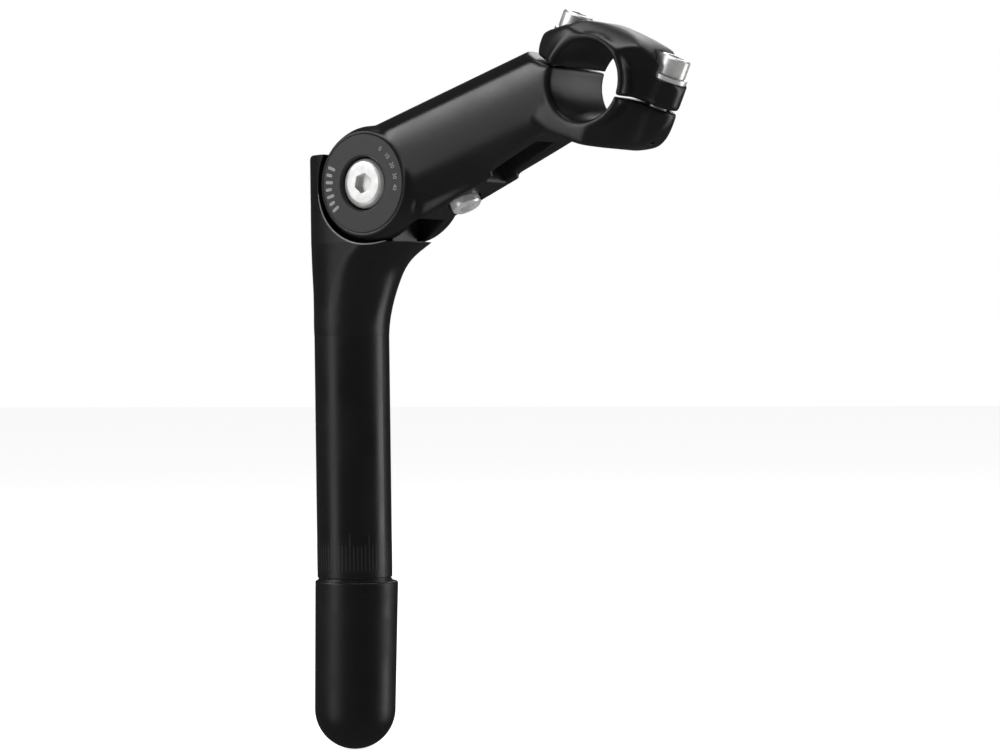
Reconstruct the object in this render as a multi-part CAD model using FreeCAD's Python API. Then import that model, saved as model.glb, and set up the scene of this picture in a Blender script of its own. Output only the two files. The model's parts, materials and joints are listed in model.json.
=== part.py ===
import FreeCAD, Part
import os
from math import cos, pi, radians, sin, sqrt

# Adjustable quill stem for a bicycle, in millimetres.
# X runs forward along the arm, Y to the left, Z up the quill.
# The origin is on the quill axis where the plain shaft meets its head.

# Quill and handlebar sizes
QUILL_R = 12.7
BAR_R = 12.7

# Quill shaft
SHAFT_BORE_R = 10.2
SHAFT_BORE_TOP = 4.0
SLANT_MID_Z = -101.0
CAP_SEAT_Z = -82.0
CAP_SEAT_WIDTH = 0.8
CAP_SEAT_DEPTH = 0.35

# Quill head and the cradle that the arm turns in
PIVOT_X = 17.9
PIVOT_Z = 50.0
CRADLE_R = 20.0
LIP_TOP_Z = 30.7
LIP_TIP_X = 30.2
WALL_TOP_Z = 60.5
HEAD_ROOT_R = 12.75
HEAD_HALF_WIDTH = 15.8

# Toothed knuckle
KNUCKLE_R = 11.5
KNUCKLE_HALF_WIDTH = 7.0
TOOTH_DEPTH = 0.8
TOOTH_PITCH_DEG = 8.0
WEB_FRONT = 5.0
WEB_REAR = 9.0

# Arm
ARM_DEG = 18.3
ARM_LENGTH = 91.5
ARM_HALF_WIDTH = 16.7
BARREL_R = 19.4
ARM_TOP = 19.6
ARM_BOTTOM = 13.8
BELLY_RISE_DEG = 9.1
SLOT_HALF_WIDTH = 7.9
PLATE_R = 16.5
PLATE_THICKNESS = 1.0
RECESS_R = 8.9
RECESS_DEPTH = 3.2

# Handlebar clamp, in its own axes: along the split, and square to it
SPLIT_DROP_DEG = 42.7
SPLIT_HALF_GAP = 0.3
CLAMP_REACH = 26.4
CLAMP_CROWN = 18.5
CLAMP_END_HEIGHT = 7.4
CLAMP_SHOULDER = 13.2
CLAMP_RING_R = 15.2
CORNER_X = -17.5
CORNER_HEIGHT = 9.4
CORNER_SLOPE = (-0.58, 0.33, 0.74)
CLAMP_FLOOR = 19.0
CLAMP_BOLT_X = 19.9
BORE_CHAMFER = 1.1
SPOT_HEIGHT = 9.0
SPOT_R = 6.6

# Fasteners
M6_R = 3.0
M6_HEAD_R = 5.0
M6_HEAD_HEIGHT = 6.0
M6_HEX = 5.0
M8_R = 4.0
M8_HEAD_R = 6.5
M8_HEAD_HEIGHT = 8.0
M8_HEX = 6.0
THREAD_PLAY = 0.05
SEAT_PLAY = 0.1
WASHER_THICKNESS = 1.4

# Expander
EXPANDER_SEAT_Z = 24.0
EXPANDER_WELL_R = 7.2
WEDGE_R = 12.3
WEDGE_GAP = 0.5
WEDGE_BOTTOM_Z = -122.0

# Pull-off cap on the quill's lower end
END_CAP_RIM_Z = -83.2
END_CAP_R = 14.05
END_CAP_TIP_R = 13.7
END_CAP_BOTTOM_Z = -140.5
END_CAP_LEAN_DEG = 1.4
END_CAP_SHIFT = 0.6
END_CAP_SHIFT_DEG = 34.5
END_CAP_FLOOR_Z = -131.5
END_CAP_FLOOR_FILLET = 5.0

# Pivot hardware
PIVOT_HEAD_R = 8.4
PIVOT_HEAD_HEIGHT = 2.9
SLEEVE_R = 5.0
BUSH_R = 6.5
PIVOT_PLAY = 0.05
SHIM_R = 9.0
SHIM_THICKNESS = 0.6

# Angle lock: a bolt square to the arm's underside draws a toothed block onto the knuckle
LOCK_BOLT_U = 26.2
LOCK_HEAD_PROUD = 2.6
LOCK_WELL_R = 5.8
LOCK_BOLT_LENGTH = 25.0
LOCK_RELEASE = 1.6
LOCK_HALF_WIDTH = 6.4
LOCK_CAVITY_FLOOR = -4.0
LOCK_CAVITY_ROOF = 16.2
BOSS_HALF_WIDTH = 8.8
BOSS_END_U = 44.0
BOSS_END_W = -13.8
BOSS_FILLET = 0.9
CLIP_R = 4.6
CLIP_THICKNESS = 0.8

V = FreeCAD.Vector
X_AXIS = V(1, 0, 0)
Y_AXIS = V(0, 1, 0)
Z_AXIS = V(0, 0, 1)


def cylinder(radius, start, axis, length):
    return Part.makeCylinder(radius, length, V(*start), axis)


def ring(outer, inner, start, axis, length):
    return cylinder(outer, start, axis, length).cut(cylinder(inner, start, axis, length))


def box(x0, x1, y0, y1, z0, z1):
    return Part.makeBox(x1 - x0, y1 - y0, z1 - z0, V(x0, y0, z0))


def wire_of(steps):
    """A closed outline. Each step is a point, or a (through, end) pair for an arc."""
    edges = []
    here = steps[0]
    for step in steps[1:]:
        if isinstance(step, tuple):
            edges.append(Part.Arc(here, step[0], step[1]).toShape())
            here = step[1]
        else:
            edges.append(Part.makeLine(here, step))
            here = step
    if here.distanceToPoint(steps[0]) > 1e-6:
        edges.append(Part.makeLine(here, steps[0]))
    return Part.Wire(edges)


def prism(steps, travel):
    return Part.Face(wire_of(steps)).extrude(travel)


def side_prism(steps, half_width):
    """Extrudes an outline drawn in X and Z across the mid-plane."""
    def put(p):
        return V(p[0], -half_width, p[1])
    placed = [(put(s[0]), put(s[1])) if isinstance(s[0], tuple) else put(s) for s in steps]
    return prism(placed, V(0, 2 * half_width, 0))


def turned(profile, start, axis):
    """Revolves (radius, distance) points about an axis that starts at a point."""
    points = [V(r, 0, h) for r, h in profile]
    face = Part.Face(Part.makePolygon(points + [points[0]]))
    solid = face.revolve(V(0, 0, 0), Z_AXIS, 360)
    solid.Placement = FreeCAD.Placement(V(*start), FreeCAD.Rotation(Z_AXIS, axis))
    return solid


def hexagon(across_flats, start, axis, length):
    radius = across_flats / sqrt(3)
    points = [V(radius * cos(k * pi / 3), radius * sin(k * pi / 3), 0) for k in range(7)]
    solid = Part.Face(Part.makePolygon(points)).extrude(V(0, 0, length))
    solid.Placement = FreeCAD.Placement(V(*start), FreeCAD.Rotation(Z_AXIS, axis))
    return solid


def socket_screw(shank_r, shank_length, head_r, head_height, hex_size):
    """Head up on +Z, seat at z = 0, shank pointing down, hex socket in the top."""
    bevel = 0.12 * head_r
    tip = 0.25 * shank_r
    profile = [
        (0, -shank_length),
        (shank_r - tip, -shank_length),
        (shank_r, -shank_length + tip),
        (shank_r, 0),
        (head_r - 0.3, 0),
        (head_r, 0.3),
        (head_r, head_height - bevel),
        (head_r - bevel, head_height),
        (0, head_height),
    ]
    body = turned(profile, (0, 0, 0), Z_AXIS)
    return body.cut(hexagon(hex_size, (0, 0, 0.45 * head_height), Z_AXIS, head_height))


def moved(solid, x=0.0, y=0.0, z=0.0):
    copy = solid.copy()
    copy.translate(V(x, y, z))
    return copy


def pointed(solid, axis, place):
    """Turns a solid built along +Z so that it points along an axis at a place."""
    copy = solid.copy()
    copy.Placement = FreeCAD.Placement(V(*place), FreeCAD.Rotation(Z_AXIS, axis))
    return copy


def belly_height(u):
    """Height of the arm's rising underside, a line that starts tangent to the barrel."""
    rise = radians(BELLY_RISE_DEG)
    return -BARREL_R / cos(rise) + u * sin(rise) / cos(rise)


# Arm parts are drawn with the pivot at the origin and X along the arm, then placed.
ARM_PLACE = FreeCAD.Placement(
    V(PIVOT_X, 0, PIVOT_Z), FreeCAD.Rotation(Y_AXIS, -ARM_DEG)
)
# Clamp parts are drawn about the bar's axis with X along the split, then placed on the arm.
CLAMP_PLACE = FreeCAD.Placement(
    V(ARM_LENGTH, 0, 0), FreeCAD.Rotation(Y_AXIS, SPLIT_DROP_DEG)
)


# Lock parts are drawn with Z along the lock bolt, rising from the arm's underside.
LOCK_PLACE = FreeCAD.Placement(
    V(LOCK_BOLT_U, 0, belly_height(LOCK_BOLT_U)), FreeCAD.Rotation(Y_AXIS, -BELLY_RISE_DEG)
)


def on_arm(solid):
    copy = solid.copy()
    copy.Placement = ARM_PLACE.multiply(copy.Placement)
    return copy


def on_clamp(solid):
    copy = solid.copy()
    copy.Placement = CLAMP_PLACE.multiply(copy.Placement)
    return copy


def on_lock(solid):
    copy = solid.copy()
    copy.Placement = LOCK_PLACE.multiply(copy.Placement)
    return copy


def head_section(z, tip, front_centre, rear_centre, half_width):
    """Closed outline of the quill head: rounded back, straight sides, bowed front."""
    rear_reach = HEAD_ROOT_R + rear_centre
    points = []
    for k in range(-6, 7):
        angle = radians(15 * k)
        reach = tip - front_centre
        points.append(V(front_centre + reach * cos(angle), half_width * sin(angle), z))
    for k in range(1, 13):
        angle = radians(90 + 15 * k)
        if k == 12 and front_centre == rear_centre:
            continue
        points.append(V(rear_centre + rear_reach * cos(angle), half_width * sin(angle), z))
    curve = Part.BSplineCurve()
    curve.interpolate(Points=points, PeriodicFlag=True)
    return Part.Wire([curve.toShape()])


def quill_head():
    rings = [
        head_section(0.0, HEAD_ROOT_R, 0.0, 0.0, HEAD_ROOT_R),
        head_section(6.0, 13.5, 0.2, 0.1, 12.95),
        head_section(12.0, 15.4, 0.6, 0.4, 13.1),
        head_section(19.0, 18.0, 3.0, 1.2, 14.0),
        head_section(25.0, 21.8, 7.0, 2.2, 15.0),
        head_section(28.5, 26.6, 11.0, 2.8, 15.5),
        head_section(LIP_TOP_Z, LIP_TIP_X, 14.0, 3.0, HEAD_HALF_WIDTH),
    ]
    flare = Part.makeLoft(rings, True, False)
    upper = Part.makeLoft(
        [
            head_section(LIP_TOP_Z, LIP_TIP_X, 14.0, 3.0, HEAD_HALF_WIDTH),
            head_section(WALL_TOP_Z, LIP_TIP_X, 14.0, 3.0, HEAD_HALF_WIDTH),
        ],
        True,
        False,
    )
    # The back of the head keeps only a wall with a rounded top.
    wall_top = side_prism(
        [
            (-20, LIP_TOP_Z - 1),
            (-20, WALL_TOP_Z - 9),
            (-13.4, WALL_TOP_Z - 9),
            ((-11.3, WALL_TOP_Z - 3.0), (-5.6, WALL_TOP_Z)),
            (PIVOT_X - 1, WALL_TOP_Z),
            (PIVOT_X - 1, LIP_TOP_Z - 1),
        ],
        30,
    )
    cradle = cylinder(CRADLE_R, (PIVOT_X, -30, PIVOT_Z), Y_AXIS, 60)
    return flare.fuse(upper.common(wall_top).cut(cradle)).cut(cradle)


def tooth_wedge(angle_deg, root_r, tip_r, root_half_deg, tip_half_deg, half_width):
    """One trapezoid tooth about the pivot, at an angle measured up from the arm's axis."""
    corners = [
        (root_r, -root_half_deg),
        (tip_r, -tip_half_deg),
        (tip_r, tip_half_deg),
        (root_r, root_half_deg),
    ]
    points = []
    for radius, offset in corners:
        angle = radians(angle_deg + offset)
        points.append(V(radius * cos(angle), -half_width, radius * sin(angle)))
    return prism(points, V(0, 2 * half_width, 0))


def knuckle():
    root_r = KNUCKLE_R - TOOTH_DEPTH
    disc = cylinder(root_r, (0, -KNUCKLE_HALF_WIDTH, 0), Y_AXIS, 2 * KNUCKLE_HALF_WIDTH)
    for k in range(-5, 10):
        angle = ARM_DEG + (k + 0.5) * TOOTH_PITCH_DEG
        disc = disc.fuse(
            tooth_wedge(angle, root_r - 0.3, KNUCKLE_R, 2.5, 1.2, KNUCKLE_HALF_WIDTH)
        )
    web = box(
        -WEB_REAR, WEB_FRONT, -KNUCKLE_HALF_WIDTH, KNUCKLE_HALF_WIDTH, -CRADLE_R - 3, 0
    )
    return moved(disc.fuse(web), PIVOT_X, 0, PIVOT_Z)


def quill_body():
    shaft = cylinder(QUILL_R, (0, 0, WEDGE_BOTTOM_Z), Z_AXIS, -WEDGE_BOTTOM_Z)
    slant = side_prism(
        [
            (-40, SLANT_MID_Z - 40),
            (40, SLANT_MID_Z + 40),
            (80, SLANT_MID_Z - 90),
        ],
        40,
    )
    seat_groove = ring(
        QUILL_R + 1, QUILL_R - CAP_SEAT_DEPTH, (0, 0, CAP_SEAT_Z - CAP_SEAT_WIDTH), Z_AXIS,
        CAP_SEAT_WIDTH,
    )
    shaft = shaft.cut(slant).cut(seat_groove)
    solid = shaft.fuse(quill_head()).fuse(knuckle())
    bore = cylinder(
        SHAFT_BORE_R, (0, 0, WEDGE_BOTTOM_Z - 1), Z_AXIS, SHAFT_BORE_TOP - WEDGE_BOTTOM_Z + 1
    )
    bolt_hole = cylinder(M8_R + 0.4, (0, 0, 0), Z_AXIS, EXPANDER_SEAT_Z + 1)
    well = cylinder(EXPANDER_WELL_R, (0, 0, EXPANDER_SEAT_Z), Z_AXIS, 60)
    bush_hole = cylinder(BUSH_R, (PIVOT_X, -20, PIVOT_Z), Y_AXIS, 40)
    index_notch = cylinder(0.7, (-13.2, -20, PIVOT_Z), Y_AXIS, 40)
    solid = solid.cut(bore).cut(bolt_hole).cut(well).cut(bush_hole).cut(index_notch)
    return solid.removeSplitter()


def expander_bolt():
    head_z = EXPANDER_SEAT_Z + WASHER_THICKNESS + SEAT_PLAY
    length = head_z - WEDGE_BOTTOM_Z - 1.0
    screw = socket_screw(M8_R, length, M8_HEAD_R, M8_HEAD_HEIGHT, M8_HEX)
    return moved(screw, z=head_z)


def expander_washer():
    return ring(
        M8_HEAD_R + 0.5, M8_R + 0.3, (0, 0, EXPANDER_SEAT_Z), Z_AXIS, WASHER_THICKNESS
    )


def expander_wedge():
    blank = cylinder(WEDGE_R, (0, 0, WEDGE_BOTTOM_Z), Z_AXIS, 60)
    above = side_prism(
        [
            (-40, SLANT_MID_Z - WEDGE_GAP - 40),
            (40, SLANT_MID_Z - WEDGE_GAP + 40),
            (40, 60),
            (-40, 60),
        ],
        40,
    )
    thread = cylinder(M8_R + THREAD_PLAY, (0, 0, WEDGE_BOTTOM_Z - 1), Z_AXIS, 90)
    solid = blank.cut(above).cut(thread)
    rim = [e for e in solid.Edges if abs(e.BoundBox.ZMax - WEDGE_BOTTOM_Z) < 0.01]
    return solid.makeChamfer(0.8, [e for e in rim if e.BoundBox.XLength > 20])


def end_cap():
    height = END_CAP_RIM_Z - END_CAP_BOTTOM_Z
    tip = END_CAP_TIP_R
    dome_mid = V(tip * sin(pi / 4), 0, -height + tip - tip * cos(pi / 4))
    rim = END_CAP_R
    outline = wire_of(
        [
            V(0, 0, -height),
            (dome_mid, V(tip, 0, -height + tip)),
            V(rim, 0, -0.9),
            (V(rim - 0.2, 0, -0.25), V(rim - 0.8, 0, 0)),
            V(0, 0, 0),
        ]
    )
    outer = Part.Face(outline).revolve(V(0, 0, 0), Z_AXIS, 360)
    lean_dir = radians(END_CAP_SHIFT_DEG)
    across = V(-sin(lean_dir), cos(lean_dir), 0)
    outer.rotate(V(0, 0, 0), across, END_CAP_LEAN_DEG)
    shift = V(cos(lean_dir), sin(lean_dir), 0) * END_CAP_SHIFT
    outer.translate(shift + V(0, 0, END_CAP_RIM_Z))
    inner_r = QUILL_R + 0.05
    rim_cut = cylinder(40, (0, 0, END_CAP_RIM_Z), Z_AXIS, 10)
    hollow = cylinder(
        inner_r, (0, 0, END_CAP_FLOOR_Z), Z_AXIS, END_CAP_RIM_Z - END_CAP_FLOOR_Z + 5
    )
    floor_edges = [e for e in hollow.Edges if abs(e.BoundBox.ZMax - END_CAP_FLOOR_Z) < 0.01]
    hollow = hollow.makeFillet(END_CAP_FLOOR_FILLET, floor_edges)
    return outer.cut(rim_cut).cut(hollow)


def arm_section():
    """Cross-section of the arm: narrow crowned top, full sides, rounded belly."""
    def at(y, w):
        return V(-2, y, w)
    right = ARM_HALF_WIDTH
    return prism(
        [
            at(-14.8, 14.2),
            (at(-9.2, 18.5), at(0, ARM_TOP)),
            (at(9.2, 18.5), at(14.8, 14.2)),
            at(15.6, 13.6),
            (at(right, 4.5), at(right - 0.9, -3.5)),
            (at(12.2, -9.8), at(6.8, -ARM_BOTTOM)),
            at(-6.8, -ARM_BOTTOM),
            (at(-12.2, -9.8), at(-right + 0.9, -3.5)),
            (at(-right, 4.5), at(-15.6, 13.6)),
        ],
        V(ARM_LENGTH + 2, 0, 0),
    )


def arm_blank():
    shoulder = ARM_HALF_WIDTH - 4.0
    barrel_profile = [
        (0, -ARM_HALF_WIDTH),
        (PLATE_R + 0.5, -ARM_HALF_WIDTH),
        (PLATE_R + 1.2, -ARM_HALF_WIDTH + 0.4),
        (BARREL_R - 0.6, -shoulder - 1.2),
        (BARREL_R, -shoulder),
        (BARREL_R, shoulder),
        (BARREL_R - 0.6, shoulder + 1.2),
        (PLATE_R + 1.2, ARM_HALF_WIDTH - 0.4),
        (PLATE_R + 0.5, ARM_HALF_WIDTH),
        (0, ARM_HALF_WIDTH),
    ]
    barrel = turned(barrel_profile, (0, 0, 0), Y_AXIS)
    boss = side_prism(
        [(6, -17.5), (BOSS_END_U, BOSS_END_W), (BOSS_END_U, 0), (6, 0)], BOSS_HALF_WIDTH
    )
    edges = [e for e in boss.Edges if e.BoundBox.YLength < 0.01 and e.BoundBox.ZMax < -10]
    boss = boss.makeFillet(BOSS_FILLET, edges)
    above_belly = side_prism(
        [
            (-30, -30),
            (0, -ARM_BOTTOM - 6),
            (30, -14.2),
            (64, -9.0),
            ((70.5, -9.4), (76, -12.6)),
            (82, -18),
            (110, -18),
            (110, 40),
            (-30, 40),
        ],
        30,
    )
    beam = arm_section().common(above_belly)
    return barrel.fuse(beam).fuse(boss).fuse(on_clamp(clamp_blank()))


def corner_cutter(sign):
    """Sloping block that takes off a rear upper corner of the clamp on one side."""
    slope = V(*CORNER_SLOPE)
    slope.y = sign * slope.y
    block = Part.makeBox(60, 60, 40, V(-30, -30, 0))
    start = V(CORNER_X, sign * ARM_HALF_WIDTH, CORNER_HEIGHT)
    block.Placement = FreeCAD.Placement(start, FreeCAD.Rotation(Z_AXIS, slope))
    return block


def clamp_blank():
    """Both halves of the clamp in one, before the bore and the split are cut."""
    end = CLAMP_REACH
    wide = ARM_HALF_WIDTH
    side = side_prism(
        [
            (-end + 3, -3),
            (-end + 3, 0.6),
            (-end - 0.6, 3.6),
            (-end, CLAMP_END_HEIGHT),
            ((0, CLAMP_CROWN), (end, CLAMP_END_HEIGHT)),
            (end, -1.5),
            ((25.2, -7.6), (21.6, -13.2)),
            ((12.0, -17.8), (0, -CLAMP_FLOOR - 0.5)),
            ((-8.0, -19.8), (-15, -18)),
        ],
        wide,
    )

    def on_plan(x, y):
        return V(x, y, -40)
    shoulder = 8.5
    ear = CLAMP_BOLT_X
    ear_r = end - ear
    plan = prism(
        [
            on_plan(-shoulder, -wide),
            on_plan(shoulder, -wide),
            (on_plan(13.4, -10.0), on_plan(ear, -ear_r)),
            (on_plan(end, 0), on_plan(ear, ear_r)),
            (on_plan(13.4, 10.0), on_plan(shoulder, wide)),
            on_plan(-shoulder, wide),
            (on_plan(-19.0, 13.4), on_plan(-end + 0.6, 7.0)),
            (on_plan(-end - 0.6, 0), on_plan(-end + 0.6, -7.0)),
            (on_plan(-19.0, -13.4), on_plan(-shoulder, -wide)),
        ],
        V(0, 0, 80),
    )

    def on_front(y, z):
        return V(-40, y, z)
    crown = prism(
        [
            on_front(-wide, -40),
            on_front(-wide, CLAMP_SHOULDER),
            (on_front(0, CLAMP_CROWN + 0.1), on_front(wide, CLAMP_SHOULDER)),
            on_front(wide, -40),
        ],
        V(80, 0, 0),
    )
    solid = side.common(plan).common(crown)
    for sign in (-1, 1):
        solid = solid.cut(corner_cutter(sign))
    return solid.fuse(cylinder(CLAMP_RING_R, (0, -wide, 0), Y_AXIS, 2 * wide))


def bar_bore():
    reach = ARM_HALF_WIDTH
    mouth = BAR_R + BORE_CHAMFER
    profile = [
        (0, -reach - 1),
        (mouth + 1, -reach - 1),
        (BAR_R, -reach + BORE_CHAMFER),
        (BAR_R, reach - BORE_CHAMFER),
        (mouth + 1, reach + 1),
        (0, reach + 1),
    ]
    return turned(profile, (0, 0, 0), Y_AXIS)


def stem_arm():
    above_split = on_clamp(box(-60, 60, -30, 30, -SPLIT_HALF_GAP, 60))
    solid = arm_blank().cut(above_split).cut(on_clamp(bar_bore()))
    for x in (-CLAMP_BOLT_X, CLAMP_BOLT_X):
        solid = solid.cut(on_clamp(cylinder(M6_R + THREAD_PLAY, (x, 0, -12), Z_AXIS, 20)))
    half = SLOT_HALF_WIDTH
    # Slot for the knuckle and the lock block, open behind so that the arm can tilt
    solid = solid.cut(box(-30, 35, -half, half, LOCK_CAVITY_FLOOR, LOCK_CAVITY_ROOF))
    solid = solid.cut(box(-30, 12.0, -half, half, -30, 0))
    solid = solid.cut(box(-30, 0.5, -half, half, 0, 30))
    # Open pocket in the underside ahead of the lock
    solid = solid.cut(box(40, 63, -half + 1.5, half - 1.5, -30, -5))
    # Lock bolt's hole and the well its head sits in
    solid = solid.cut(on_lock(cylinder(M6_R + 0.4, (0, 0, 0), Z_AXIS, 20)))
    solid = solid.cut(on_lock(cylinder(LOCK_WELL_R, (0, 0, -10), Z_AXIS, 10 + lock_seat())))
    # Pivot: sleeve bore through both cheeks, head recesses and plate seats
    for sign in (-1, 1):
        axis = Y_AXIS * sign
        face = sign * ARM_HALF_WIDTH
        solid = solid.cut(
            cylinder(PLATE_R, (0, face - sign * PLATE_THICKNESS, 0), axis, 5)
        )
        solid = solid.cut(cylinder(RECESS_R, (0, face - sign * RECESS_DEPTH, 0), axis, 9))
    solid = solid.cut(cylinder(SLEEVE_R + PIVOT_PLAY, (0, -30, 0), Y_AXIS, 60))
    return on_arm(solid.removeSplitter())


def side_plate(sign):
    """Thin facing ring round the pivot; the one on the right carries the angle scale."""
    inner = (RECESS_R + 0.1, RECESS_R + 0.6)
    profile = [
        (inner[0], 0),
        (PLATE_R, 0),
        (PLATE_R, PLATE_THICKNESS - 0.3),
        (PLATE_R - 0.3, PLATE_THICKNESS),
        (inner[1], PLATE_THICKNESS),
        (inner[0], PLATE_THICKNESS - 0.5),
    ]
    seat = sign * (ARM_HALF_WIDTH - PLATE_THICKNESS)
    return on_arm(turned(profile, (0, seat, 0), Y_AXIS * sign))


def pivot_head(sign):
    """Low domed flange with a hex socket, seated in the recess on one side."""
    profile = [
        (0, 0),
        (PIVOT_HEAD_R, 0),
        (PIVOT_HEAD_R, 1.1),
        (PIVOT_HEAD_R - 0.35, 2.0),
        (PIVOT_HEAD_R - 1.1, 2.6),
        (PIVOT_HEAD_R - 2.0, PIVOT_HEAD_HEIGHT),
        (0, PIVOT_HEAD_HEIGHT),
    ]
    seat = sign * (ARM_HALF_WIDTH - RECESS_DEPTH + SEAT_PLAY)
    head = turned(profile, (0, seat, 0), Y_AXIS * sign)
    socket = hexagon(M8_HEX, (0, seat + sign * 0.4, 0), Y_AXIS * sign, 9)
    return head, socket, seat


def pivot_bolt():
    head, socket, seat = pivot_head(-1)
    shank = cylinder(M6_R, (0, seat, 0), Y_AXIS, 22)
    return on_arm(head.fuse(shank).cut(socket))


def pivot_nut():
    head, socket, seat = pivot_head(1)
    length = 2 * ARM_HALF_WIDTH - RECESS_DEPTH - 6.0
    sleeve = cylinder(SLEEVE_R, (0, seat, 0), Y_AXIS * -1, length)
    thread = cylinder(M6_R + THREAD_PLAY, (0, seat - 3.0, 0), Y_AXIS * -1, length)
    return on_arm(head.fuse(sleeve).cut(socket).cut(thread))


def pivot_bush():
    half = KNUCKLE_HALF_WIDTH
    return ring(
        BUSH_R, SLEEVE_R + PIVOT_PLAY, (PIVOT_X, -half, PIVOT_Z), Y_AXIS, 2 * half
    )


def pivot_shim(sign):
    start = sign * SLOT_HALF_WIDTH
    return on_arm(
        ring(SHIM_R, SLEEVE_R + PIVOT_PLAY, (0, start, 0), Y_AXIS * -sign, SHIM_THICKNESS)
    )


def lock_seat():
    """Height of the lock washer's seat above the arm's underside."""
    return M6_HEAD_HEIGHT - LOCK_HEAD_PROUD + SEAT_PLAY + WASHER_THICKNESS


def lock_block():
    """Toothed block that the lock bolt draws down onto the knuckle."""
    half = LOCK_HALF_WIDTH
    root_r = KNUCKLE_R + 0.25
    body = side_prism([(1.5, 13.8), (32.5, 13.8), (32.5, 0), (11.2, 0), (4.0, 8.0)], half)
    body = body.cut(cylinder(root_r, (0, -30, 0), Y_AXIS, 60))
    for k in range(7, 11):
        tooth = tooth_wedge(
            k * TOOTH_PITCH_DEG, root_r + 0.4, KNUCKLE_R - TOOTH_DEPTH + 0.3, 1.3, 0.5, half
        )
        body = body.fuse(tooth)
    thread = on_lock(cylinder(M6_R + THREAD_PLAY, (0, 0, 0), Z_AXIS, 50))
    rise = radians(BELLY_RISE_DEG)
    lift = V(-sin(rise), 0, cos(rise)) * LOCK_RELEASE
    return on_arm(moved(body.cut(thread).removeSplitter(), lift.x, lift.y, lift.z))


def lock_bolt():
    screw = socket_screw(
        M6_R, LOCK_BOLT_LENGTH, M6_HEAD_R, M6_HEAD_HEIGHT, M6_HEX
    )
    seat = M6_HEAD_HEIGHT - LOCK_HEAD_PROUD
    return on_arm(on_lock(pointed(screw, Z_AXIS * -1, (0, 0, seat))))


def lock_washer():
    start = lock_seat() - WASHER_THICKNESS
    return on_arm(
        on_lock(ring(LOCK_WELL_R - 0.3, M6_R + 0.3, (0, 0, start), Z_AXIS, WASHER_THICKNESS))
    )


def lock_clip():
    """Ring on the bolt above the cavity floor that keeps the bolt in the arm."""
    rise = radians(BELLY_RISE_DEG)
    floor = (LOCK_CAVITY_FLOOR - belly_height(LOCK_BOLT_U)) / cos(rise)
    start = floor + CLIP_R * sin(rise) / cos(rise) + 0.4
    return on_arm(on_lock(ring(CLIP_R, M6_R, (0, 0, start), Z_AXIS, CLIP_THICKNESS)))


def clamp_cap():
    solid = clamp_blank().common(box(-60, 60, -30, 30, SPLIT_HALF_GAP, 60)).cut(bar_bore())
    for x in (-CLAMP_BOLT_X, CLAMP_BOLT_X):
        solid = solid.cut(cylinder(M6_R + 0.4, (x, 0, -5), Z_AXIS, 40))
        solid = solid.cut(cylinder(SPOT_R, (x, 0, SPOT_HEIGHT), Z_AXIS, 40))
    return on_arm(on_clamp(solid.removeSplitter()))


def clamp_washer(x):
    outer = ring(M6_HEAD_R + 1.0, M6_R + 0.3, (x, 0, SPOT_HEIGHT), Z_AXIS, WASHER_THICKNESS)
    return on_arm(on_clamp(outer))


def clamp_bolt(x):
    screw = socket_screw(M6_R, 20.0, M6_HEAD_R, M6_HEAD_HEIGHT, M6_HEX)
    seat = SPOT_HEIGHT + WASHER_THICKNESS + SEAT_PLAY
    return on_arm(on_clamp(moved(screw, x=x, z=seat)))


NODES = {
    "quill_body": quill_body(),
    "expander_bolt": expander_bolt(),
    "expander_washer": expander_washer(),
    "expander_wedge": expander_wedge(),
    "end_cap": end_cap(),
    "stem_arm": stem_arm(),
    "scale_plate": side_plate(-1),
    "plain_plate": side_plate(1),
    "pivot_bolt": pivot_bolt(),
    "pivot_nut": pivot_nut(),
    "pivot_bush": pivot_bush(),
    "pivot_shim_right": pivot_shim(-1),
    "pivot_shim_left": pivot_shim(1),
    "lock_block": lock_block(),
    "lock_bolt": lock_bolt(),
    "lock_washer": lock_washer(),
    "lock_clip": lock_clip(),
    "clamp_cap": clamp_cap(),
    "clamp_bolt_rear": clamp_bolt(-CLAMP_BOLT_X),
    "clamp_bolt_front": clamp_bolt(CLAMP_BOLT_X),
    "clamp_washer_rear": clamp_washer(-CLAMP_BOLT_X),
    "clamp_washer_front": clamp_washer(CLAMP_BOLT_X),
}

os.makedirs("parts", exist_ok=True)
for name, shape in NODES.items():
    shape.exportStep(f"parts/{name}.step")
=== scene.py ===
import json
import math

import bmesh
import bpy
import numpy as np
from mathutils import Matrix, Vector


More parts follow.
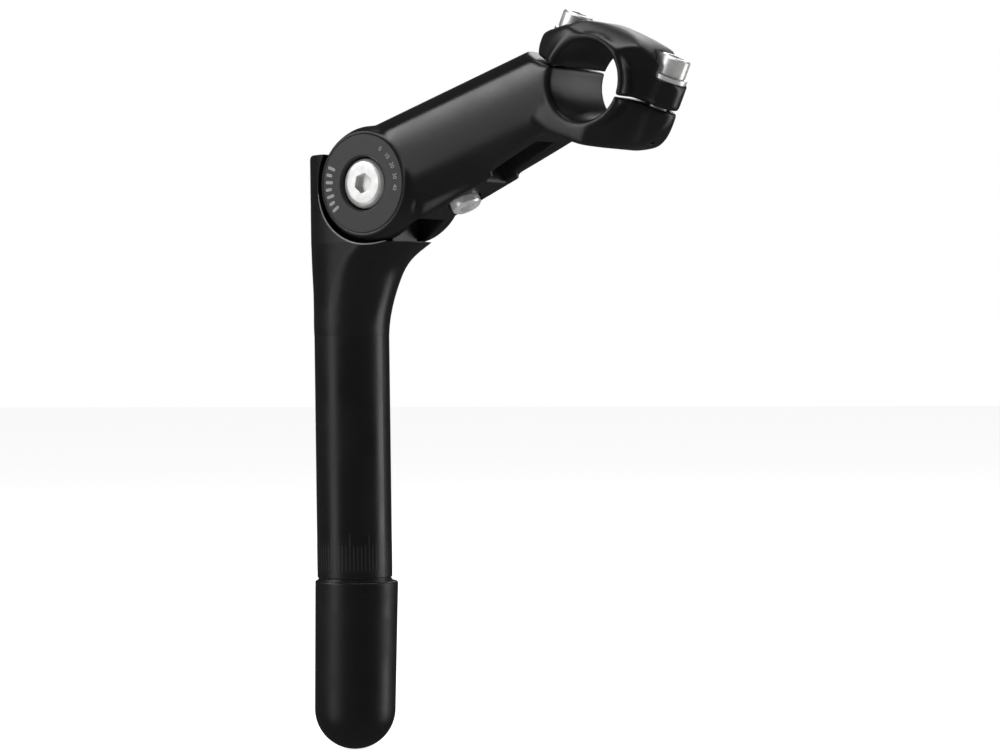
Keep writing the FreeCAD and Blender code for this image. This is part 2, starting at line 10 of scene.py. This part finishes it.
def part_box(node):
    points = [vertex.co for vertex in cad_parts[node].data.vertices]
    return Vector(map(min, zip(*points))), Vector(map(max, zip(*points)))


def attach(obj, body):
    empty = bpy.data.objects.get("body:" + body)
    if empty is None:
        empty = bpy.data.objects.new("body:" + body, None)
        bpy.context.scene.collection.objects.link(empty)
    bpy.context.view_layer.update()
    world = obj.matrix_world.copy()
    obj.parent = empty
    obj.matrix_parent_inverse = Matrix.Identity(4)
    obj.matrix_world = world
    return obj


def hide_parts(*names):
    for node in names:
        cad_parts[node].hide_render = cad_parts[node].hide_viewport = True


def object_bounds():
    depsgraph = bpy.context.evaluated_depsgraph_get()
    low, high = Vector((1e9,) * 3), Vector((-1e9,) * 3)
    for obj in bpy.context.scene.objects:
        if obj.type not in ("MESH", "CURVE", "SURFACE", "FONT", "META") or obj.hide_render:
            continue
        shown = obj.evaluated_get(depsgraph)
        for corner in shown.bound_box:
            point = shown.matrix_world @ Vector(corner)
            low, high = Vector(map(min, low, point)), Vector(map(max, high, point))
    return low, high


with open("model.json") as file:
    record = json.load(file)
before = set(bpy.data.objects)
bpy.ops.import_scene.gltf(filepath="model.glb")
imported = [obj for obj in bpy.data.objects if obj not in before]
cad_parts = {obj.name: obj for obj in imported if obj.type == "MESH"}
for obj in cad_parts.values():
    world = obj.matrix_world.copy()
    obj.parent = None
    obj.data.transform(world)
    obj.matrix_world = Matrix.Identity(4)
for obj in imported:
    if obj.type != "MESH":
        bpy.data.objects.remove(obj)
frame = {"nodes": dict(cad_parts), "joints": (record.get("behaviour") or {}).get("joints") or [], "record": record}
cad_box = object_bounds()

# Places read from the frame, in metres. X runs forward, Y to the left, Z up the quill.
JOINTS = {joint["name"]: joint for joint in frame["joints"]}
MOUNTS = {mount["name"]: mount for mount in frame["record"]["mounts"]}
BOLT_LOW, BOLT_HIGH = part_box("pivot_bolt")
PIVOT = Vector(((BOLT_LOW.x + BOLT_HIGH.x) / 2, 0.0, (BOLT_LOW.z + BOLT_HIGH.z) / 2))
PLATE_LOW, PLATE_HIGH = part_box("scale_plate")
PLATE_R = (PLATE_HIGH.x - PLATE_LOW.x) / 2
PLATE_FACE_Y = PLATE_LOW.y
SHAFT_R = MOUNTS["quill_shaft"]["dims"]["r_mm"] / 1000
CAP_RIM_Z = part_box("end_cap")[1].z
FLOOR_Z = cad_box[0][2]


# ---------------------------------------------------------------- materials

WHITE = (1.0, 1.0, 1.0, 1.0)
BARE_EDGE = (0.20, 0.20, 0.205)
BEVEL_SAMPLES = 6


def new_material(name):
    material = bpy.data.materials.new(name)
    material.use_nodes = True
    tree = material.node_tree
    shader = tree.nodes["Principled BSDF"]
    return material, tree, shader


def noise(tree, scale, detail=4.0, roughness=0.55, stretch=None):
    """Noise in the piece's own metres; stretch scales the three axes apart."""
    where = tree.nodes.new("ShaderNodeTexCoord")
    texture = tree.nodes.new("ShaderNodeTexNoise")
    texture.inputs["Scale"].default_value = scale
    texture.inputs["Detail"].default_value = detail
    texture.inputs["Roughness"].default_value = roughness
    if stretch is None:
        tree.links.new(where.outputs["Object"], texture.inputs["Vector"])
    else:
        mapping = tree.nodes.new("ShaderNodeMapping")
        mapping.inputs["Scale"].default_value = stretch
        tree.links.new(where.outputs["Object"], mapping.inputs["Vector"])
        tree.links.new(mapping.outputs["Vector"], texture.inputs["Vector"])
    return texture.outputs["Fac"]


def remap(tree, value, low, high, to_low, to_high):
    node = tree.nodes.new("ShaderNodeMapRange")
    node.inputs["From Min"].default_value = low
    node.inputs["From Max"].default_value = high
    node.inputs["To Min"].default_value = to_low
    node.inputs["To Max"].default_value = to_high
    tree.links.new(value, node.inputs["Value"])
    return node.outputs["Result"]


def blend_colours(tree, factor, first, second):
    """Mixes two colours; each is an RGB tuple or another node's output."""
    node = tree.nodes.new("ShaderNodeMix")
    node.data_type = "RGBA"
    tree.links.new(factor, node.inputs["Factor"])
    for socket, colour in ((node.inputs[6], first), (node.inputs[7], second)):
        if isinstance(colour, tuple):
            socket.default_value = (*colour, 1.0)
        else:
            tree.links.new(colour, socket)
    return node.outputs[2]


def combine(tree, operation, first, second):
    node = tree.nodes.new("ShaderNodeMath")
    node.operation = operation
    for socket, value in ((node.inputs[0], first), (node.inputs[1], second)):
        if isinstance(value, float):
            socket.default_value = value
        else:
            tree.links.new(value, socket)
    return node.outputs["Value"]


def soft_edges(tree, radius):
    """Normals rounded over sharp edges by a radius in metres."""
    node = tree.nodes.new("ShaderNodeBevel")
    node.samples = BEVEL_SAMPLES
    node.inputs["Radius"].default_value = radius
    return node.outputs["Normal"]


def edge_mask(tree, rounded, strength):
    """0 on open faces, up to 1 close to a sharp edge."""
    geometry = tree.nodes.new("ShaderNodeNewGeometry")
    node = tree.nodes.new("ShaderNodeVectorMath")
    node.operation = "DOT_PRODUCT"
    tree.links.new(rounded, node.inputs[0])
    tree.links.new(geometry.outputs["Normal"], node.inputs[1])
    return remap(tree, node.outputs["Value"], 1.0, 0.75, 0.0, strength)


def bump(tree, height, distance, normal, strength=1.0):
    node = tree.nodes.new("ShaderNodeBump")
    node.inputs["Distance"].default_value = distance
    node.inputs["Strength"].default_value = strength
    tree.links.new(height, node.inputs["Height"])
    if normal is not None:
        tree.links.new(normal, node.inputs["Normal"])
    return node.outputs["Normal"]


def painted_black(name, colour, roughness, grain, edge_radius, wear):
    """Satin powder coat: fine orange peel, patchy gloss, paint thinned along the edges."""
    material, tree, shader = new_material(name)
    rounded = soft_edges(tree, edge_radius)
    patches = noise(tree, 55.0, 3.0)
    peel = noise(tree, grain, 5.0, 0.6)
    broken = noise(tree, 700.0, 6.0, 0.7)
    lighter = tuple(c * 1.7 + 0.002 for c in colour)
    body = blend_colours(tree, patches, colour, lighter)
    worn = combine(tree, "MULTIPLY", edge_mask(tree, rounded, wear), broken)
    paint = blend_colours(tree, worn, body, BARE_EDGE)
    tree.links.new(paint, shader.inputs["Base Color"])
    gloss = remap(tree, patches, 0.3, 0.7, roughness - 0.05, roughness + 0.06)
    tree.links.new(gloss, shader.inputs["Roughness"])
    tree.links.new(bump(tree, peel, 0.00005, rounded, 0.5), shader.inputs["Normal"])
    shader.inputs["Specular IOR Level"].default_value = 0.5
    return material


def bright_metal(name, colour, roughness, brush, edge_radius, stretch, metallic=1.0):
    """Plated or turned metal with fine tool marks and slightly dull patches."""
    material, tree, shader = new_material(name)
    rounded = soft_edges(tree, edge_radius)
    marks = noise(tree, brush, 3.0, 0.6, stretch)
    stains = noise(tree, 240.0, 4.0)
    darker = tuple(c * 0.72 for c in colour)
    factor = remap(tree, stains, 0.35, 0.75, 0.0, 1.0)
    tree.links.new(blend_colours(tree, factor, colour, darker), shader.inputs["Base Color"])
    gloss = remap(tree, marks, 0.25, 0.75, roughness - 0.07, roughness + 0.1)
    tree.links.new(gloss, shader.inputs["Roughness"])
    tree.links.new(bump(tree, marks, 0.00003, rounded, 0.4), shader.inputs["Normal"])
    shader.inputs["Metallic"].default_value = metallic
    return material


def moulded(name, colour, roughness, grain, edge_radius):
    """Dipped or moulded plastic: soft skin, faint ripples and dust."""
    material, tree, shader = new_material(name)
    rounded = soft_edges(tree, edge_radius)
    ripple = noise(tree, 90.0, 2.0)
    skin = noise(tree, grain, 4.0, 0.6)
    dust = remap(tree, noise(tree, 1500.0, 5.0, 0.7), 0.55, 0.8, 0.0, 0.5)
    lighter = tuple(c * 1.5 + 0.006 for c in colour)
    tree.links.new(blend_colours(tree, dust, colour, lighter), shader.inputs["Base Color"])
    gloss = remap(tree, ripple, 0.3, 0.7, roughness - 0.05, roughness + 0.07)
    tree.links.new(gloss, shader.inputs["Roughness"])
    first = bump(tree, ripple, 0.0004, rounded, 0.25)
    tree.links.new(bump(tree, skin, 0.00004, first, 0.5), shader.inputs["Normal"])
    return material


def turned_plate(name, colour, roughness):
    """Anodised disc with fine turning rings round the pivot."""
    material, tree, shader = new_material(name)
    rounded = soft_edges(tree, 0.00025)
    where = tree.nodes.new("ShaderNodeTexCoord")
    shift = tree.nodes.new("ShaderNodeMapping")
    shift.inputs["Location"].default_value = (-PIVOT.x, 0.0, -PIVOT.z)
    tree.links.new(where.outputs["Object"], shift.inputs["Vector"])
    flat = tree.nodes.new("ShaderNodeVectorMath")
    flat.operation = "MULTIPLY"
    flat.inputs[1].default_value = (1.0, 0.0, 1.0)
    tree.links.new(shift.outputs["Vector"], flat.inputs[0])
    reach = tree.nodes.new("ShaderNodeVectorMath")
    reach.operation = "LENGTH"
    tree.links.new(flat.outputs["Vector"], reach.inputs[0])
    rings = tree.nodes.new("ShaderNodeTexNoise")
    rings.noise_dimensions = "1D"
    rings.inputs["Scale"].default_value = 5200.0
    rings.inputs["Detail"].default_value = 3.0
    tree.links.new(reach.outputs["Value"], rings.inputs["W"])
    specks = noise(tree, 420.0, 5.0, 0.65)
    lighter = tuple(c * 1.35 for c in colour)
    tree.links.new(blend_colours(tree, specks, colour, lighter), shader.inputs["Base Color"])
    gloss = remap(tree, rings.outputs["Fac"], 0.3, 0.7, roughness - 0.05, roughness + 0.08)
    tree.links.new(gloss, shader.inputs["Roughness"])
    tree.links.new(
        bump(tree, rings.outputs["Fac"], 0.00002, rounded, 0.5), shader.inputs["Normal"]
    )
    return material


def printed(name, colour, roughness):
    """Screen-printed ink, thin and a little broken."""
    material, tree, shader = new_material(name)
    broken = noise(tree, 2600.0, 5.0, 0.7)
    faded = tuple(c * 0.45 for c in colour)
    factor = remap(tree, broken, 0.35, 0.7, 0.0, 1.0)
    tree.links.new(blend_colours(tree, factor, colour, faded), shader.inputs["Base Color"])
    gloss = remap(tree, broken, 0.3, 0.7, roughness, roughness + 0.15)
    tree.links.new(gloss, shader.inputs["Roughness"])
    tree.links.new(bump(tree, broken, 0.00001, None, 0.4), shader.inputs["Normal"])
    return material


PLATING = (0.92, 0.92, 0.91)
ARM_PAINT = painted_black("arm_paint", (0.0042, 0.0042, 0.0045), 0.34, 2600.0, 0.0013, 0.12)
QUILL_PAINT = painted_black("quill_paint", (0.0038, 0.0038, 0.0040), 0.33, 3000.0, 0.0008, 0.12)
PLATE_BLACK = turned_plate("plate_anodised", (0.019, 0.019, 0.020), 0.44)
ZINC = bright_metal("zinc_steel", PLATING, 0.32, 2200.0, 0.0003, (1.0, 1.0, 4.0), 0.7)
PIVOT_STEEL = bright_metal(
    "pivot_steel", PLATING, 0.36, 2600.0, 0.0004, (1.0, 5.0, 1.0), 0.8
)
ALLOY = bright_metal("bare_alloy", (0.66, 0.67, 0.68), 0.34, 900.0, 0.0003, (1.0, 1.0, 6.0))
BRONZE = bright_metal("bronze_bush", (0.62, 0.42, 0.18), 0.32, 1200.0, 0.0002, (1.0, 6.0, 1.0))
VINYL = moulded("vinyl_cap", (0.0045, 0.0045, 0.0045), 0.42, 1800.0, 0.0006)
SHIM = moulded("shim_plastic", (0.60, 0.60, 0.56), 0.48, 2400.0, 0.0002)
SCALE_INK = printed("scale_ink", (0.36, 0.36, 0.36), 0.45)
BAND_INK = printed("band_ink", (0.030, 0.030, 0.032), 0.30)
# Painted highlight: the rim bead's light grey stands in for the light caught along the cradle's rim.
RIM_HIGHLIGHT = painted_black("rim_painted_highlight", (0.16, 0.16, 0.162), 0.22, 3000.0, 0.0001, 0.2)

NODE_MATERIALS = {
    "quill_body": QUILL_PAINT,
    "expander_bolt": ZINC,
    "expander_washer": ZINC,
    "expander_wedge": ALLOY,
    "end_cap": VINYL,
    "stem_arm": ARM_PAINT,
    "scale_plate": PLATE_BLACK,
    "plain_plate": PLATE_BLACK,
    "pivot_bolt": PIVOT_STEEL,
    "pivot_nut": PIVOT_STEEL,
    "pivot_bush": BRONZE,
    "pivot_shim_right": SHIM,
    "pivot_shim_left": SHIM,
    "lock_block": ALLOY,
    "lock_bolt": ZINC,
    "lock_washer": ZINC,
    "lock_clip": ZINC,
    "clamp_cap": ARM_PAINT,
    "clamp_bolt_rear": ZINC,
    "clamp_bolt_front": ZINC,
    "clamp_washer_rear": ZINC,
    "clamp_washer_front": ZINC,
}
for node_name, material in NODE_MATERIALS.items():
    mesh = frame["nodes"][node_name].data
    mesh.materials.clear()
    mesh.materials.append(material)


# ---------------------------------------------------------------- pieces

def add_piece(name, mesh, material, body):
    piece = bpy.data.objects.new(name, mesh)
    bpy.context.scene.collection.objects.link(piece)
    mesh.materials.clear()
    mesh.materials.append(material)
    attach(piece, body)
    return piece


# The arm and the clamp's cap are castings: their outer corners are rounded, while every seat,
# bore and bearing face keeps its shape.
BAR_PLACE = np.array(MOUNTS["bar_clamp"]["pos_m"])
SPLIT_UP = np.array(JOINTS["clamp_cap_lift"]["axis"])
CLAMP_BOLT_PLACES = [
    np.array(JOINTS[name]["pos_m"])
    for name in ("clamp_bolt_front_turn", "clamp_bolt_rear_turn")
]
LOCK_PLACE = np.array(JOINTS["lock_bolt_turn"]["pos_m"])
LOCK_AXIS = np.array(JOINTS["lock_bolt_turn"]["axis"])
SIDE_AXIS = np.array((0.0, 1.0, 0.0))
BORE_KEPT_R = 0.0138
SPOT_KEPT_R = 0.0070
SPOT_KEPT_HEIGHT = 0.0080
PIVOT_KEPT_R = 0.0172
LOCK_KEPT_R = 0.0066
SLOT_KEPT_Y = 0.0084
KEPT_FADE = 0.0012
NARROW_FADE = 0.0010
SLOT_FRONT_FROM_BAR = 0.028
CASTING_VOXEL = 0.00048
CASTING_ROUNDS = 22
EVEN_ROUNDS = 3


def from_axis(points, place, axis):
    """Each point's distance from an axis, and its height along it."""
    offset = points - place
    along = offset @ axis
    return np.linalg.norm(offset - np.outer(along, axis), axis=1), along


def ramp(value, start, end):
    """0 up to start, rising evenly to 1 at end."""
    return np.clip((value - start) / (end - start), 0.0, 1.0)


def softness(points):
    """How freely each point may be rounded: 0 on working faces, 1 on open casting."""
    bar, _ = from_axis(points, BAR_PLACE, SIDE_AXIS)
    free = ramp(bar, BORE_KEPT_R, BORE_KEPT_R + KEPT_FADE)
    for place in CLAMP_BOLT_PLACES:
        reach, height = from_axis(points, place, SPLIT_UP)
        beside = ramp(reach, SPOT_KEPT_R, SPOT_KEPT_R + KEPT_FADE)
        free = np.minimum(free, np.where(height > SPOT_KEPT_HEIGHT, beside, 1.0))
    pivot_reach, _ = from_axis(points, np.array(PIVOT), SIDE_AXIS)
    free = np.minimum(free, ramp(pivot_reach, PIVOT_KEPT_R, PIVOT_KEPT_R + NARROW_FADE))
    lock_reach, _ = from_axis(points, LOCK_PLACE, LOCK_AXIS)
    free = np.minimum(free, ramp(lock_reach, LOCK_KEPT_R, LOCK_KEPT_R + NARROW_FADE))
    in_slot = (np.abs(points[:, 1]) < SLOT_KEPT_Y) & (bar > SLOT_FRONT_FROM_BAR)
    return np.where(in_slot, 0.0, free)


def casting(name, node, body, material):
    """The node's solid with its outer corners rounded, standing in for the node."""
    source = frame["nodes"][node]
    holder = bpy.data.objects.new(name + "_cells", source.data.copy())
    bpy.context.scene.collection.objects.link(holder)
    cells = holder.modifiers.new("cells", "REMESH")
    cells.mode = "VOXEL"
    cells.voxel_size = CASTING_VOXEL
    bpy.context.view_layer.update()
    graph = bpy.context.evaluated_depsgraph_get()
    mesh = bpy.data.meshes.new_from_object(holder.evaluated_get(graph))
    bpy.data.objects.remove(holder)
    mesh.name = name
    count = len(mesh.vertices)
    points = np.empty(count * 3)
    mesh.vertices.foreach_get("co", points)
    points = points.reshape(-1, 3)
    ends = np.empty(len(mesh.edges) * 2, dtype=np.int32)
    mesh.edges.foreach_get("vertices", ends)
    first, second = ends.reshape(-1, 2).T
    neighbours = np.bincount(first, minlength=count) + np.bincount(second, minlength=count)
    free = softness(points)
    for step in range(CASTING_ROUNDS):
        weight = 0.5 * np.maximum(free, 1.0 if step < EVEN_ROUNDS else 0.0)
        total = np.empty_like(points)
        for k in range(3):
            total[:, k] = np.bincount(first, points[second, k], count)
            total[:, k] += np.bincount(second, points[first, k], count)
        mean = total / neighbours[:, None]
        points += (mean - points) * weight[:, None]
    mesh.vertices.foreach_set("co", points.ravel())
    mesh.polygons.foreach_set("use_smooth", np.ones(len(mesh.polygons), dtype=bool))
    mesh.update()
    piece = add_piece(name, mesh, material, body)
    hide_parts(node)


casting("arm_casting", "stem_arm", "arm", ARM_PAINT)
casting("clamp_cap_casting", "clamp_cap", "bar_cap", ARM_PAINT)


PRINT_PROUD = 0.00003
PRINT_SUNK = 0.00010
BAR_PINCH = 0.12
BAR_END_WIDTH = 0.55
BAR_OUTLINE = (
    (0.0, -BAR_END_WIDTH), (BAR_PINCH, -1.0), (1.0 - BAR_PINCH, -1.0), (1.0, -BAR_END_WIDTH),
    (1.0, BAR_END_WIDTH), (1.0 - BAR_PINCH, 1.0), (BAR_PINCH, 1.0), (0.0, BAR_END_WIDTH),
)


def bar_between(builder, start, end, width_dir, half_width, out_dir):
    """A printed bar from start to end, narrower at its ends, standing a little proud."""
    run = end - start
    lower = []
    upper = []
    for along, across in BAR_OUTLINE:
        spot = start + run * along + width_dir * (half_width * across)
        lower.append(builder.verts.new(spot - out_dir * PRINT_SUNK))
        upper.append(builder.verts.new(spot + out_dir * PRINT_PROUD))
    builder.faces.new(upper)
    builder.faces.new(list(reversed(lower)))
    count = len(BAR_OUTLINE)
    for k in range(count):
        after = (k + 1) % count
        builder.faces.new([lower[k], lower[after], upper[after], upper[k]])


def finished_mesh(name, builder):
    bmesh.ops.recalc_face_normals(builder, faces=builder.faces)
    mesh = bpy.data.meshes.new(name)
    builder.to_mesh(mesh)
    builder.free()
    return mesh


def on_plate(radius, angle_deg):
    """A point on the scale plate's face, by its angle up from straight ahead."""
    angle = math.radians(angle_deg)
    offset = Vector((radius * math.cos(angle), 0.0, radius * math.sin(angle)))
    return Vector((PIVOT.x, PLATE_FACE_Y, PIVOT.z)) + offset


SCALE_FIRST_DEG = 157.0
SCALE_STEP_DEG = 9.8
SCALE_COUNT = 7
TICK_INNER = 0.0123
TICK_OUTER = 0.0153
TICK_SHORTER = 0.0006
TICK_HALF_WIDTH = 0.00052
PLATE_OUT = Vector((0, -1, 0))

ticks = bmesh.new()
for k in range(SCALE_COUNT):
    degrees = SCALE_FIRST_DEG + SCALE_STEP_DEG * k
    angle = math.radians(degrees)
    side = Vector((-math.sin(angle), 0.0, math.cos(angle)))
    inner = TICK_INNER + (TICK_SHORTER if k % 2 else 0.0)
    bar_between(
        ticks, on_plate(inner, degrees), on_plate(TICK_OUTER, degrees), side,
        TICK_HALF_WIDTH, PLATE_OUT,
    )
add_piece("scale_ticks", finished_mesh("scale_ticks", ticks), SCALE_INK, "arm")

NUMERALS = (("0", 56.0), ("10", 40.0), ("20", 24.0), ("30", 8.0), ("40", -8.0))
NUMERAL_R = 0.0134
NUMERAL_SIZE = 0.0021


def numeral(text, angle_deg):
    """One printed figure on the scale plate, its top pointing outward."""
    curve = bpy.data.curves.new("figure", "FONT")
    curve.body = text
    curve.size = NUMERAL_SIZE
    curve.align_x = "CENTER"
    curve.align_y = "CENTER"
    curve.extrude = PRINT_PROUD
    holder = bpy.data.objects.new("figure", curve)
    bpy.context.scene.collection.objects.link(holder)
    bpy.context.view_layer.update()
    mesh = bpy.data.meshes.new_from_object(holder)
    bpy.data.objects.remove(holder)
    angle = math.radians(angle_deg)
    outward = Vector((math.cos(angle), 0.0, math.sin(angle)))
    across = outward.cross(PLATE_OUT)
    turn = Matrix((across, outward, PLATE_OUT)).transposed().to_4x4()
    mesh.transform(Matrix.Translation(on_plate(NUMERAL_R, angle_deg)) @ turn)
    return mesh


for k, (text, degrees) in enumerate(NUMERALS):
    add_piece(f"scale_figure_{k}", numeral(text, degrees), SCALE_INK, "arm")

# Painted highlight: a light-grey bead along the near and far rims of the cradle that the barrel turns in, standing
# in for the light the rim's edge catches
CRADLE_R = 0.0200
HEAD_HALF_WIDTH = 0.0158
HEAD_REAR_CENTRE = 0.0030
HEAD_REAR_REACH = 0.01575
HEAD_FRONT_CENTRE = 0.0140
HEAD_FRONT_REACH = 0.0162
RIM_BEAD_R = 0.00030
RIM_FIRST_DEG = 188.0
RIM_SWEEP_DEG = 100.0
RIM_STEPS = 40
RIM_TAPER = 0.4


def rim_point(angle_deg, sign):
    """Where the cradle's round cut meets the side of the quill's head."""
    angle = math.radians(angle_deg)
    x = PIVOT.x + CRADLE_R * math.cos(angle)
    z = PIVOT.z + CRADLE_R * math.sin(angle)
    if x < HEAD_REAR_CENTRE:
        lost = (HEAD_REAR_CENTRE - x) / HEAD_REAR_REACH
    elif x > HEAD_FRONT_CENTRE:
        lost = (x - HEAD_FRONT_CENTRE) / HEAD_FRONT_REACH
    else:
        lost = 0.0
    y = sign * HEAD_HALF_WIDTH * math.sqrt(max(0.0, 1 - lost * lost))
    return Vector((x, y, z))


def rim_highlight_bead(name, sign):
    """A fine bead along the rim, thinning out at both ends; its light grey is a painted highlight standing in for
    the light the rim's chamfer catches.
    """
    curve = bpy.data.curves.new(name, "CURVE")
    curve.dimensions = "3D"
    curve.bevel_depth = RIM_BEAD_R
    curve.bevel_resolution = 3
    spline = curve.splines.new("POLY")
    spline.points.add(RIM_STEPS)
    for k in range(RIM_STEPS + 1):
        degrees = RIM_FIRST_DEG + RIM_SWEEP_DEG * k / RIM_STEPS
        spline.points[k].co = (*rim_point(degrees, sign), 1.0)
        spline.points[k].radius = math.sin(math.pi * (k + 1) / (RIM_STEPS + 2)) ** RIM_TAPER
    holder = bpy.data.objects.new(name, curve)
    bpy.context.scene.collection.objects.link(holder)
    bpy.context.view_layer.update()
    mesh = bpy.data.meshes.new_from_object(holder)
    bpy.data.objects.remove(holder)
    for face in mesh.polygons:
        face.use_smooth = True
    add_piece(name, mesh, RIM_HIGHLIGHT, "quill")


rim_highlight_bead("cradle_rim_highlight_right", -1)
rim_highlight_bead("cradle_rim_highlight_left", 1)

# Insertion-limit band: fine upright lines all round the shaft above the end cap
BAND_TOP = CAP_RIM_Z + 0.0165
BAND_BOTTOM = CAP_RIM_Z + 0.0035
BAND_LINES = 60
BAND_TALL_EVERY = 5
BAND_SHORTER = 0.004
BAND_HALF_WIDTH = 0.00016

band = bmesh.new()
for k in range(BAND_LINES):
    angle = 2 * math.pi * k / BAND_LINES
    out = Vector((math.cos(angle), math.sin(angle), 0.0))
    side = Vector((-math.sin(angle), math.cos(angle), 0.0))
    top = BAND_TOP - (BAND_SHORTER if k % BAND_TALL_EVERY else 0.0)
    bar_between(
        band, out * SHAFT_R + Vector((0, 0, BAND_BOTTOM)), out * SHAFT_R + Vector((0, 0, top)),
        side, BAND_HALF_WIDTH, out,
    )
band_mesh = finished_mesh("insertion_band", band)
add_piece("insertion_band", band_mesh, BAND_INK, "quill")


# ---------------------------------------------------------------- floor, light and camera

FLOOR_HALF = 6.0
FLOOR_GLOW = 0.90
WORLD_TO_CAMERA = 1.0
WORLD_AS_LIGHT = 0.05
CENTRE = Vector((0.03, 0.0, 0.02))
LIGHT_DISTANCE = 1.3
CAMERA_LENS = 108.25
CAMERA_PLACE = Vector((0.6195, -0.8129, -0.0087))
CAMERA_YAW = math.radians(34.5)
CAMERA_PITCH = math.radians(-0.31)
CAMERA_ROLL = math.radians(-0.73)


def stage_floor():
    builder = bmesh.new()
    corners = [
        (-FLOOR_HALF, -FLOOR_HALF), (FLOOR_HALF, -FLOOR_HALF),
        (FLOOR_HALF, FLOOR_HALF), (-FLOOR_HALF, FLOOR_HALF),
    ]
    builder.faces.new([builder.verts.new((x, y, FLOOR_Z)) for x, y in corners])
    mesh = bpy.data.meshes.new("floor")
    builder.to_mesh(mesh)
    builder.free()
    material, tree, shader = new_material("floor_paper")
    shader.inputs["Roughness"].default_value = 0.9
    shader.inputs["Specular IOR Level"].default_value = 0.1
    shader.inputs["Emission Color"].default_value = WHITE
    shader.inputs["Emission Strength"].default_value = FLOOR_GLOW
    fibre = noise(tree, 8.0, 3.0)
    tree.links.new(
        blend_colours(tree, fibre, (0.90, 0.90, 0.90), (0.92, 0.92, 0.92)),
        shader.inputs["Base Color"],
    )
    mesh.materials.append(material)
    floor = bpy.data.objects.new("floor", mesh)
    bpy.context.scene.collection.objects.link(floor)
    floor.visible_glossy = False


def area_light(name, direction, width, height, radiance):
    """A softbox facing the object's middle; radiance is how bright it looks."""
    light = bpy.data.lights.new(name, "AREA")
    light.shape = "RECTANGLE"
    light.size = width
    light.size_y = height
    light.energy = radiance * math.pi * width * height
    lamp = bpy.data.objects.new(name, light)
    outward = Vector(direction).normalized()
    lamp.location = CENTRE + outward * LIGHT_DISTANCE
    lamp.rotation_euler = (-outward).to_track_quat("-Z", "Y").to_euler()
    bpy.context.scene.collection.objects.link(lamp)


def studio_world():
    """White to the camera, dimmer as a light so that black paint stays black."""
    world = bpy.data.worlds.new("studio")
    bpy.context.scene.world = world
    world.use_nodes = True
    tree = world.node_tree
    background = tree.nodes["Background"]
    path = tree.nodes.new("ShaderNodeLightPath")
    strength = tree.nodes.new("ShaderNodeMapRange")
    strength.inputs["To Min"].default_value = WORLD_AS_LIGHT
    strength.inputs["To Max"].default_value = WORLD_TO_CAMERA
    tree.links.new(path.outputs["Is Camera Ray"], strength.inputs["Value"])
    tree.links.new(strength.outputs["Result"], background.inputs["Strength"])
    background.inputs["Color"].default_value = WHITE


stage_floor()
studio_world()
area_light("key_left", (-0.66, -0.70, 0.46), 0.70, 0.42, 6.5)
area_light("strip_left", (-0.47, -0.88, 0.0), 0.50, 1.5, 1.25)
area_light("strip_right", (0.725, 0.688, 0.02), 0.50, 1.5, 3.0)
area_light("top_soft", (0.1, 0.1, 1.0), 0.9, 0.9, 3.0)
area_light("top_back", (-0.30, 0.83, 0.47), 0.45, 0.35, 2.6)

camera_data = bpy.data.cameras.new("camera")
camera_data.sensor_width = 36.0
camera_data.lens = CAMERA_LENS
camera_data.clip_start = 0.01
camera_data.clip_end = 50.0
camera = bpy.data.objects.new("camera", camera_data)
turn = (
    Matrix.Rotation(CAMERA_YAW, 4, "Z")
    @ Matrix.Rotation(math.pi / 2 + CAMERA_PITCH, 4, "X")
    @ Matrix.Rotation(CAMERA_ROLL, 4, "Z")
)
camera.matrix_world = Matrix.Translation(CAMERA_PLACE) @ turn
bpy.context.scene.collection.objects.link(camera)
bpy.context.scene.camera = camera
bpy.context.scene.view_settings.view_transform = "Standard"
